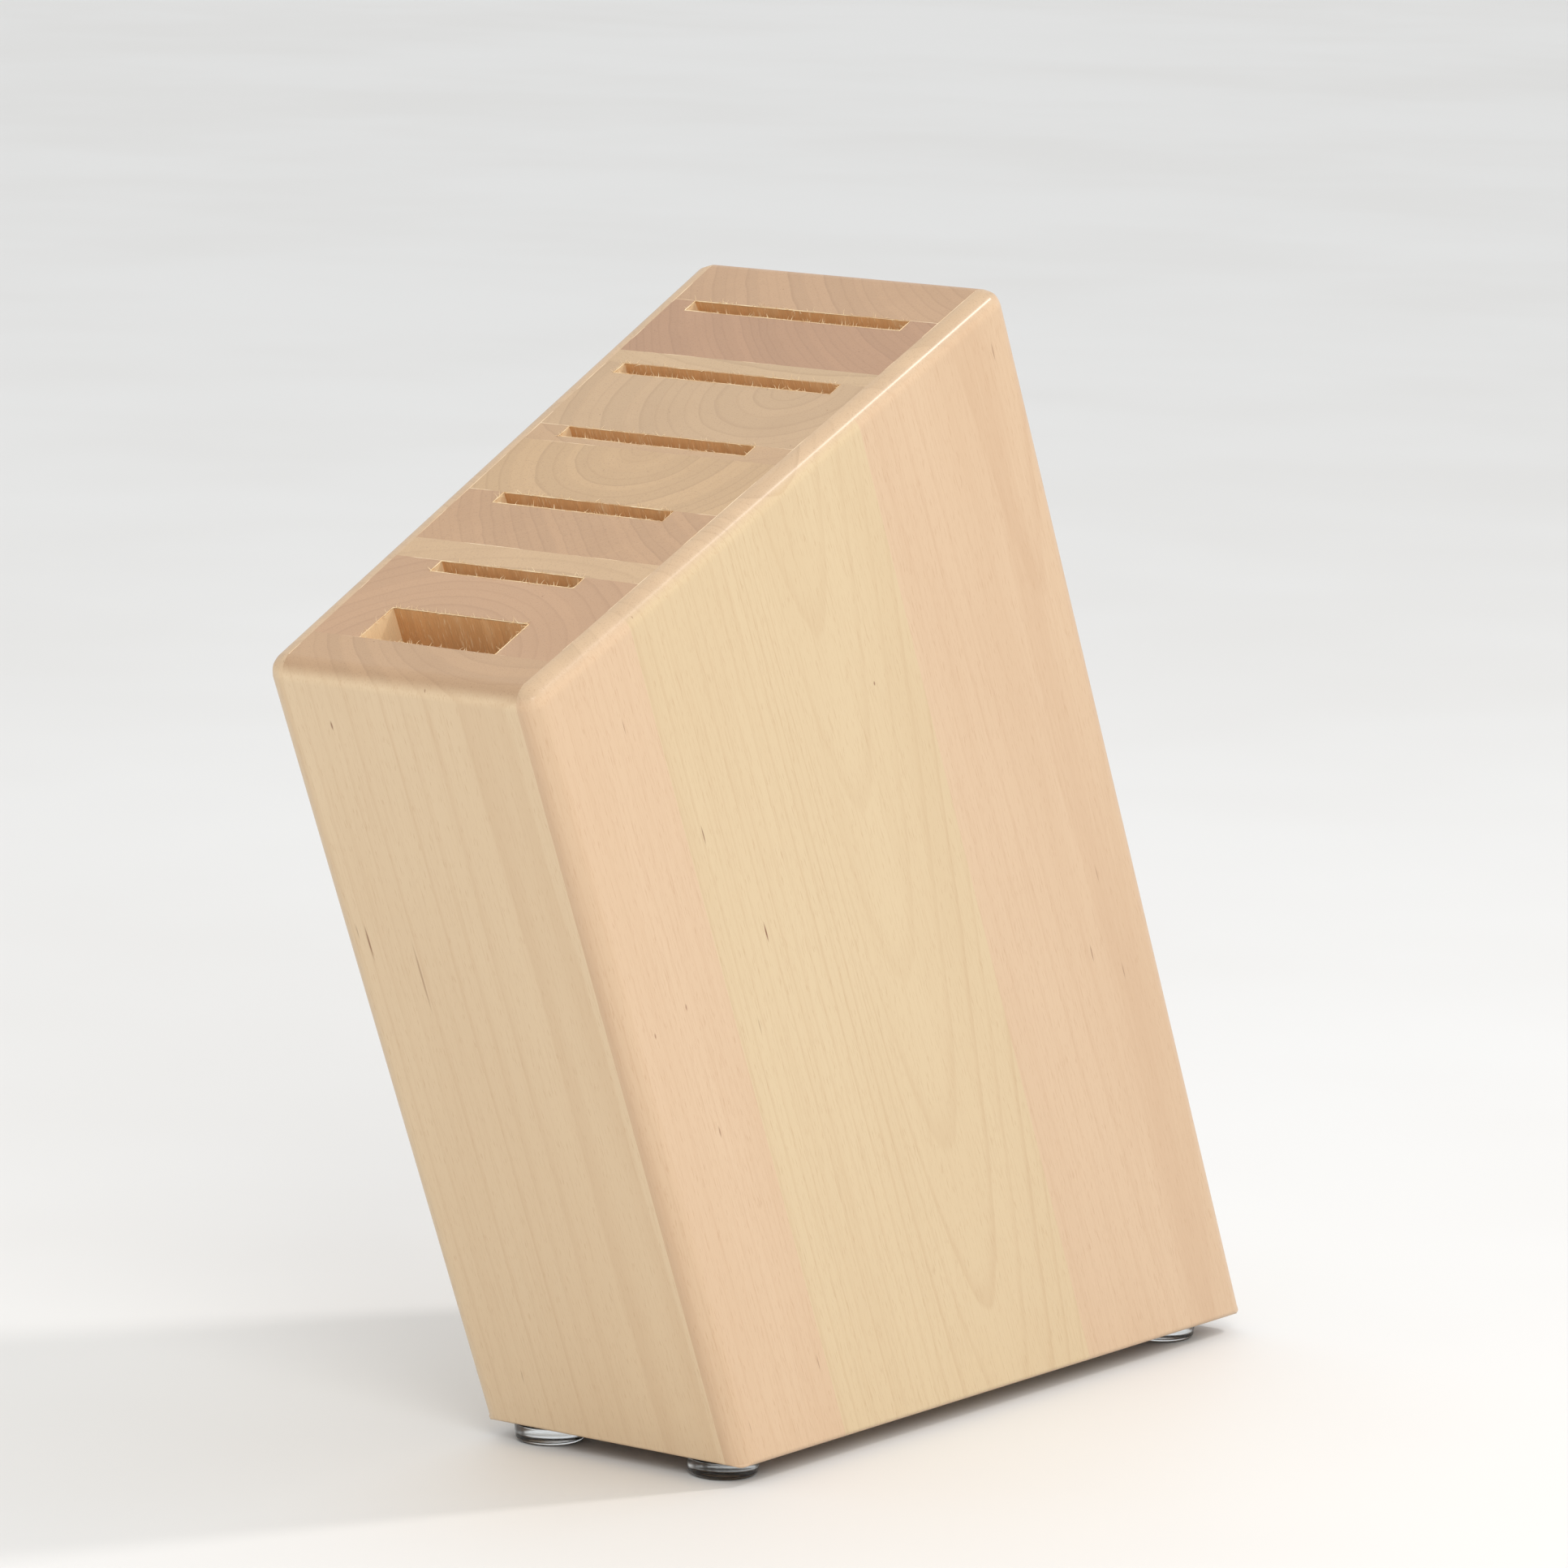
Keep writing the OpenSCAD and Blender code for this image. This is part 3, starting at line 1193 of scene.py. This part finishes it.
@dataclass
class UnevenBead:
    """A thin bead that swells and fades along its paths, in metres."""

    name: str
    bead: float = 0.085 * MM
    thinnest: float = 0.12
    pitch: float = 0.5 * MM
    seed: int = 4
    stack: Stack = field(default_factory=Stack)

    def tree(self) -> Branches:
        """Build the tree that lays an uneven bead along each path.

        Returns:
            The finished tree.
        """
        made = Branches(
            "uneven_bead",
            {
                "Radius": "NodeSocketFloat",
                "Pitch": "NodeSocketFloat",
                "Seed": "NodeSocketInt",
                "Material": "NodeSocketMaterial",
            },
        )
        start = made.start.outputs
        line = made.node("GeometryNodeMeshToCurve", {}, {"Mesh": start["Geometry"]})
        cut = made.node(
            "GeometryNodeResampleCurve",
            {"mode": "LENGTH"},
            {"Curve": line.outputs[0], "Length": start["Pitch"]},
        )
        place = made.node("GeometryNodeInputPosition", {}, {})
        cloud = made.node(
            "ShaderNodeTexNoise",
            {"noise_dimensions": "4D"},
            {"Vector": place.outputs[0], "W": start["Seed"], "Scale": 110.0, "Detail": 2.0},
        )
        share = made.node(
            "ShaderNodeMapRange",
            {},
            {
                "Value": cloud.outputs[0],
                "From Min": 0.36,
                "From Max": 0.62,
                "To Min": self.thinnest,
                "To Max": 1.0,
            },
        )
        size = made.node(
            "ShaderNodeMath", {"operation": "MULTIPLY"}, {0: share.outputs[0], 1: start["Radius"]}
        )
        ring = made.node("GeometryNodeCurvePrimitiveCircle", {}, {"Resolution": 6, "Radius": 1.0})
        tube = made.node(
            "GeometryNodeCurveToMesh",
            {},
            {
                "Curve": cut.outputs[0],
                "Profile Curve": ring.outputs[0],
                "Scale": size.outputs[0],
                "Fill Caps": True,
            },
        )
        made.close(tube.outputs[0])
        return made

    def joints(self, boards: Sequence[Board]) -> list[list[Vector]]:
        """Give the joints that show on the top: between boards, and along both panels.

        Args:
            boards: the boards, from front to back.

        Returns:
            One run of places for each joint.
        """
        st = self.stack
        sink = self.bead * 0.55
        found = []
        for board in boards[1:]:
            q = board.start
            reach = st.core(q)
            groove = [c for c in board.grooves if c.in_front]
            before = boards[boards.index(board) - 1]
            groove += [c for c in before.grooves if not c.in_front]
            if groove:
                left, right = st.slot_shift - groove[0].width / 2, st.slot_shift + groove[0].width / 2
                runs = [(-reach, left), (right, reach)]
            else:
                runs = [(-reach, reach)]
            for low, high in runs:
                found.append([st.place(x, q, st.front_len - sink) for x in (low, high)])
        for side in (-1, 1):
            ends = (st.edge_r * 0.9, st.depth - st.edge_r * 0.9)
            found.append([st.place(side * st.core(q), q, st.front_len - sink) for q in ends])
        return found

    def build(self, paths: list[list[Vector]], dress: bpy.types.Material) -> bpy.types.Object:
        """Lay a bead along every path and keep them as one piece."""
        values = {"Radius": self.bead, "Pitch": self.pitch, "Seed": self.seed, "Material": dress}
        return self.tree().grow(self.name, paths, values)


@dataclass
class TornFibres:
    """Pale wood fibres left standing along the groove mouths, in metres."""

    length: float = 0.8 * MM
    thick: float = 0.06 * MM
    pitch: float = 0.34 * MM
    seed: int = 9
    stack: Stack = field(default_factory=Stack)

    def tree(self) -> Branches:
        """Build the tree that stands bent fibres along each path.

        Returns:
            The finished tree.
        """
        made = Branches(
            "standing_fibres",
            {
                "Length": "NodeSocketFloat",
                "Thickness": "NodeSocketFloat",
                "Pitch": "NodeSocketFloat",
                "Seed": "NodeSocketInt",
                "Material": "NodeSocketMaterial",
            },
        )
        start = made.start.outputs
        line = made.node("GeometryNodeMeshToCurve", {}, {"Mesh": start["Geometry"]})
        dots = made.node(
            "GeometryNodeCurveToPoints",
            {"mode": "LENGTH"},
            {"Curve": line.outputs[0], "Length": start["Pitch"]},
        )
        thin = made.node(
            "FunctionNodeRandomValue", {"data_type": "BOOLEAN"}, {"Probability": 0.45, "Seed": start["Seed"]}
        )
        fewer = made.node(
            "GeometryNodeDeleteGeometry",
            {"domain": "POINT"},
            {"Geometry": dots.outputs["Points"], "Selection": thin.outputs[3]},
        )
        hair = made.node(
            "GeometryNodeMeshCone",
            {},
            {
                "Vertices": 4,
                "Side Segments": 4,
                "Radius Top": 0.01 * MM,
                "Radius Bottom": start["Thickness"],
                "Depth": start["Length"],
            },
        )
        place = made.node("GeometryNodeInputPosition", {}, {})
        split = made.node("ShaderNodeSeparateXYZ", {}, {0: place.outputs[0]})
        square = made.node(
            "ShaderNodeMath", {"operation": "MULTIPLY"}, {0: split.outputs[2], 1: split.outputs[2]}
        )
        bend = made.node("ShaderNodeMath", {"operation": "MULTIPLY"}, {0: square.outputs[0], 1: 900.0})
        push = made.node("ShaderNodeCombineXYZ", {}, {0: bend.outputs[0]})
        bent = made.node(
            "GeometryNodeSetPosition", {}, {"Geometry": hair.outputs["Mesh"], "Offset": push.outputs[0]}
        )
        turn = made.node(
            "FunctionNodeRandomValue",
            {"data_type": "FLOAT_VECTOR"},
            {0: (-0.9, -0.9, 0.0), 1: (1.7, 0.9, 6.28), "Seed": start["Seed"]},
        )
        grow = made.node(
            "FunctionNodeRandomValue", {"data_type": "FLOAT"}, {2: 0.35, 3: 1.25, "Seed": start["Seed"]}
        )
        stood = made.node(
            "GeometryNodeInstanceOnPoints",
            {},
            {
                "Points": fewer.outputs[0],
                "Instance": bent.outputs[0],
                "Rotation": turn.outputs[0],
                "Scale": grow.outputs[1],
            },
        )
        made.close(stood.outputs[0])
        return made

    def mouths(self, boards: Sequence[Board], sink: float) -> list[list[Vector]]:
        """Give the rim of every groove mouth as a closed run of places, a little sunk.

        Args:
            boards: the boards, from front to back.
            sink: how far below the top the run lies.

        Returns:
            One closed run of places for each groove.
        """
        st = self.stack
        found = []
        for board in boards:
            for cut in board.grooves:
                near = board.start if cut.in_front else board.start + board.thick - cut.gap
                left, right = st.slot_shift - cut.width / 2, st.slot_shift + cut.width / 2
                far = near + cut.gap
                rim = [(left, near), (right, near), (right, far), (left, far), (left, near)]
                found.append([st.place(x, q, st.front_len - sink) for x, q in rim])
        return found

    def build(self, boards: Sequence[Board], pale: bpy.types.Material) -> bpy.types.Object:
        """Stand every fibre and keep them as one piece."""
        values = {
            "Length": self.length,
            "Thickness": self.thick,
            "Pitch": self.pitch,
            "Seed": self.seed,
            "Material": pale,
        }
        return self.tree().grow("torn_fibres", self.mouths(boards, 0.15 * MM), values)


# ---------------------------------------------------------------- the whole block


@dataclass
class KnifeBlock:
    """The assembled block: boards, side panels, bumpers and what shows at the joints."""

    stack: Stack = field(default_factory=Stack)

    @staticmethod
    def _maple(
        name: str,
        end: tuple[int, int, int],
        heart: Point2,
        gap: float,
        seed: float,
        face: Colour = maple(226, 196, 158),
        **habit: Any,
    ) -> WoodFinish:
        """Give a board its own maple: end colour, place of the heart, ring gap and habit."""
        return WoodFinish(f"{name}_maple", face, maple(*end), heart, gap, seed=seed, **habit)

    def boards(self) -> list[Board]:
        """List the boards from front to back, each with its own tree.

        Returns:
            The boards in order.
        """
        front = maple(234, 208, 171)
        plan: list[tuple[str, float, str, WoodFinish, tuple[Groove, ...], Edge]] = [
            (
                "front_board",
                10.5,
                "light_maple",
                self._maple(
                    "front_board",
                    (192, 157, 121),
                    (17.0, 35.0),
                    2.3,
                    1.3,
                    front,
                    taper=0.002,
                    wander=0.6,
                    ring_depth=0.34,
                    marks=(
                        Mark(-16.4, 0.0, 143.0, 2.4),
                        Mark(-22.1, 0.0, 99.6, 9.0),
                        Mark(-12.6, 0.0, 94.0, 18.0, 0.5),
                    ),
                ),
                (),
                Edge.FRONT,
            ),
            (
                "shears_board",
                25.2,
                "light_maple",
                self._maple("shears_board", (194, 156, 121), (-1.0, 3.0), 2.7, 2.1),
                (
                    Groove("shears", 28.2 * MM, 9.9 * MM, True),
                    Groove("paring", 29.8 * MM, 3.4 * MM),
                ),
                Edge.NONE,
            ),
            (
                "paring_cover",
                6.1,
                "pale_maple",
                self._maple("paring_cover", (202, 170, 132), (6.0, -30.0), 3.4, 3.7),
                (),
                Edge.NONE,
            ),
            (
                "utility_board",
                16.6,
                "amber_maple",
                self._maple("utility_board", (191, 154, 118), (60.0, 105.0), 1.7, 4.4),
                (Groove("utility", 35.5 * MM, 3.4 * MM),),
                Edge.NONE,
            ),
            (
                "utility_cover",
                17.3,
                "light_maple",
                self._maple("utility_cover", (199, 166, 126), (-1.0, 76.0), 2.3, 5.2),
                (),
                Edge.NONE,
            ),
            (
                "carving_board",
                5.3,
                "light_maple",
                self._maple("carving_board", (196, 162, 125), (4.0, 120.0), 2.6, 6.6),
                (Groove("carving", 39.2 * MM, 3.4 * MM),),
                Edge.NONE,
            ),
            (
                "slicer_board",
                21.9,
                "light_maple",
                self._maple("slicer_board", (197, 166, 130), (14.0, 99.5), 2.9, 7.9),
                (Groove("slicing", 45.6 * MM, 3.4 * MM),),
                Edge.NONE,
            ),
            (
                "slicer_cover",
                4.1,
                "pale_maple",
                self._maple("slicer_cover", (200, 170, 133), (10.0, 190.0), 3.0, 8.3),
                (),
                Edge.NONE,
            ),
            (
                "chef_board",
                18.4,
                "amber_maple",
                self._maple("chef_board", (181, 142, 110), (60.0, 175.0), 1.5, 9.1),
                (Groove("chef", 45.6 * MM, 3.4 * MM),),
                Edge.NONE,
            ),
            (
                "back_board",
                15.1,
                "light_maple",
                self._maple("back_board", (192, 156, 121), (50.0, 175.0), 2.0, 10.8, face=front),
                (),
                Edge.BACK,
            ),
        ]
        made, start = [], 0.0
        for name, thick, slot, wood, grooves, edge in plan:
            made.append(Board(name, start * MM, thick * MM, wood, slot, grooves, edge))
            start += thick
        return made

    @staticmethod
    def _flecks(kind: str) -> tuple[Mark, ...]:
        """Give the few bold flecks on the right panel's outside."""
        places = {
            "front_stave": ((7.0, 84.0, 1.6, 0.6), (16.0, 84.0, 1.8, 0.6), (16.0, 59.0, 3.0, 0.6)),
            "middle_stave": ((39.7, 84.0, 5.0, 0.95), (82.0, 108.0, 1.2, 0.8)),
        }
        return tuple(
            Mark(28.1 + 0.029 * q, q, v, length, strength)
            for q, v, length, strength in places.get(kind, ())
        )

    def staves(self) -> list[Stave]:
        """List the staves of both side panels.

        Returns:
            The staves of both sides.
        """
        plan: tuple[tuple[str, float, float, str, Colour, dict[str, Any]], ...] = (
            (
                "front_stave",
                0.0,
                26.7,
                "light_maple",
                maple(227, 196, 161),
                {"heart": (-26.0, -32.0), "ring_gap": 2.3, "wander": 2.4, "ring_depth": 0.24},
            ),
            (
                "middle_stave",
                26.7,
                94.3,
                "pale_maple",
                maple(226, 202, 162),
                {
                    "heart": (-13.5, 71.5),
                    "ring_gap": 3.0,
                    "ring_depth": 0.42,
                    "taper": -0.092,
                    "skew": 0.18,
                    "calm": 8.0,
                    "wander": 0.45,
                    "flush": 0.35,
                },
            ),
            (
                "back_stave",
                94.3,
                140.5,
                "light_maple",
                maple(226, 195, 160),
                {
                    "heart": (-20.0, 131.0),
                    "ring_gap": 2.7,
                    "taper": -0.03,
                    "ring_depth": 0.24,
                    "stain": (30.0, 129.0, 8.0),
                },
            ),
        )
        made = []
        for side, label in ((-1, "left"), (1, "right")):
            for rank, (kind, start, end, slot, face, habit) in enumerate(plan):
                inward, along = habit["heart"]
                mark = {"front_stave": (25.0, 0.0, 2.6)}.get(kind, habit.get("stain"))
                if mark is not None:
                    mark = (side * mark[0], mark[1], mark[2])
                if side < 0 and kind == "front_stave":
                    face, mark = maple(232, 206, 169), None
                wood = WoodFinish(
                    f"{label}_{kind}_maple",
                    face,
                    maple(207, 177, 142),
                    seed=20.0 + 3.7 * rank + (1.9 if side < 0 else 0.0),
                    marks=self._flecks(kind) if side > 0 else (),
                    **{**habit, "heart": (side * (30.0 + inward), along), "stain": mark},
                )
                made.append(Stave(f"{label}_{kind}", side, start * MM, end * MM, wood, slot))
        return made

    def build(self) -> None:
        """Make every piece, dress it and hand it over."""
        sawn = SawnFinish("sawn_groove", tone(212, 162, 108), tone(234, 208, 166)).dress(self.stack)
        boards = self.boards()
        for board in boards:
            made = board.build(board.wood.dress(self.stack), sawn)
            hand_over(made, board.name)
        for stave in self.staves():
            made = stave.build(stave.wood.dress(self.stack))
            hand_over(made, stave.name)
        self._joints(boards)
        self._feet()

    def _joints(self, boards: Sequence[Board]) -> None:
        """Add the glue lines, a pale bead along the groove mouths that is partly burrs and partly a painted
        rim highlight, and the torn fibres.

        Args:
            boards: the boards, from front to back.
        """
        glue = PlainFinish("dried_glue", tone(232, 212, 180), tone(214, 184, 146), 400.0).dress()
        # this pale material also dresses the mouth bead, which partly paints a highlight along the slot rims
        pale = PlainFinish("torn_fibre_and_rim_highlight", tone(236, 216, 178), tone(222, 190, 142), 600.0).dress()
        lines, fibres = UnevenBead("glue_lines"), TornFibres()
        # pale bead along the groove mouths: burrs of torn wood, and also a painted highlight along the slot
        # rims
        burrs_and_rim_highlight = UnevenBead("mouth_burrs_and_rim_highlight", 0.11 * MM, 0.3, 0.35 * MM, 7)
        for made in (
            lines.build(lines.joints(boards), glue),
            burrs_and_rim_highlight.build(fibres.mouths(boards, 0.1 * MM), pale),
            fibres.build(boards, pale),
        ):
            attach(made, "root")
            LOG.info("%s: %d faces", made.name, len(made.data.polygons))

    def _feet(self) -> None:
        """Add the clear bumpers and dress the adhesive above them."""
        clear = ClearFinish("clear_bumper", (0.80, 0.83, 0.84), 0.16).dress()
        sticky = ClearFinish("clear_adhesive", (0.86, 0.86, 0.84), 0.2).dress()
        for end in ("front", "back"):
            for side in ("left", "right"):
                made = Bumper(f"foot_{end}_{side}").build(clear)
                hand_over(made, f"foot_{end}_{side}")
                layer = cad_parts[f"adhesive_{end}_{side}"]
                for place in layer.material_slots:
                    place.material = sticky


# ---------------------------------------------------------------- studio


@dataclass(frozen=True)
class Softbox:
    """One large soft lamp aimed at the block."""

    name: str
    place: tuple[float, float, float]
    size: float
    power: float
    colour: Colour = (1.0, 1.0, 1.0)


@dataclass
class Studio:
    """Table, soft lamps and the camera."""

    azimuth: float = 35.226
    elevation: float = 9.548
    roll: float = 1.067
    distance: float = 1.390
    target: tuple[float, float, float] = (0.0019, -0.0008, 0.1132)
    lens: float = 183.15
    lamps: Sequence[Softbox] = (
        Softbox("key_right", (0.80, -0.78, 0.75), 0.6, 6.0, (1.0, 0.985, 0.955)),
        Softbox("rim_right", (0.63, 0.50, 1.12), 0.13, 4.6, (1.0, 0.95, 0.93)),
    )

    def camera(self) -> None:
        """Place the camera and make it the scene's own."""
        a, e = math.radians(self.azimuth), math.radians(self.elevation)
        back = Vector((math.sin(a) * math.cos(e), -math.cos(a) * math.cos(e), math.sin(e)))
        right = Vector((math.cos(a), math.sin(a), 0.0))
        level = Matrix((right, back.cross(right), back)).transposed()
        turned = level @ Matrix.Rotation(math.radians(self.roll), 3, "Z")
        data = bpy.data.cameras.new("camera")
        data.sensor_width = 36.0
        data.lens = self.lens
        data.clip_start, data.clip_end = 0.05, 50.0
        made = bpy.data.objects.new("camera", data)
        made.matrix_world = Matrix.Translation(Vector(self.target) + back * self.distance) @ turned.to_4x4()
        bpy.context.scene.collection.objects.link(made)
        bpy.context.scene.camera = made

    def table(self) -> None:
        """Lay a plain pale table under the block."""
        work = bmesh.new()
        half = 6.0
        corners = ((-half, -half), (half, -half), (half, half), (-half, half))
        work.faces.new([work.verts.new((x, y, 0.0)) for x, y in corners])
        mesh = bpy.data.meshes.new("table")
        work.to_mesh(mesh)
        work.free()
        made = bpy.data.objects.new("table", mesh)
        bpy.context.scene.collection.objects.link(made)
        finish = PlainFinish("pale_table", (0.765, 0.765, 0.755), (0.735, 0.73, 0.715), 3.0, 0.55)
        made.data.materials.append(finish.dress())

    def light(self) -> None:
        """Hang the soft lamps and set a soft pale surround."""
        for lamp in self.lamps:
            data = bpy.data.lights.new(lamp.name, "AREA")
            data.shape = "DISK"
            data.size = lamp.size
            data.energy = lamp.power
            data.color = lamp.colour
            made = bpy.data.objects.new(lamp.name, data)
            aim = (Vector((0.0, 0.0, 0.1)) - Vector(lamp.place)).to_track_quat("-Z", "Y")
            made.matrix_world = Matrix.Translation(lamp.place) @ aim.to_matrix().to_4x4()
            bpy.context.scene.collection.objects.link(made)
        world = bpy.data.worlds.new("surround")
        world.use_nodes = True
        sky = world.node_tree.nodes["Background"]
        sky.inputs["Color"].default_value = (0.99, 0.995, 1.0, 1.0)
        sky.inputs["Strength"].default_value = 0.95
        bpy.context.scene.world = world
        bpy.context.scene.view_settings.view_transform = "Standard"

    def build(self) -> None:
        """Set up the table, lamps and camera."""
        self.table()
        self.light()
        self.camera()


def corners(box: tuple[Vector, Vector]) -> list[list[float]]:
    """Write a box as plain lists of numbers."""
    return [list(map(float, corner)) for corner in box]


def main() -> None:
    """Build the studio and the block."""
    logging.basicConfig(level=logging.INFO, format="%(message)s")
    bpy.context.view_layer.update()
    Studio().build()
    KnifeBlock().build()


if __name__ == "__main__":
    main()
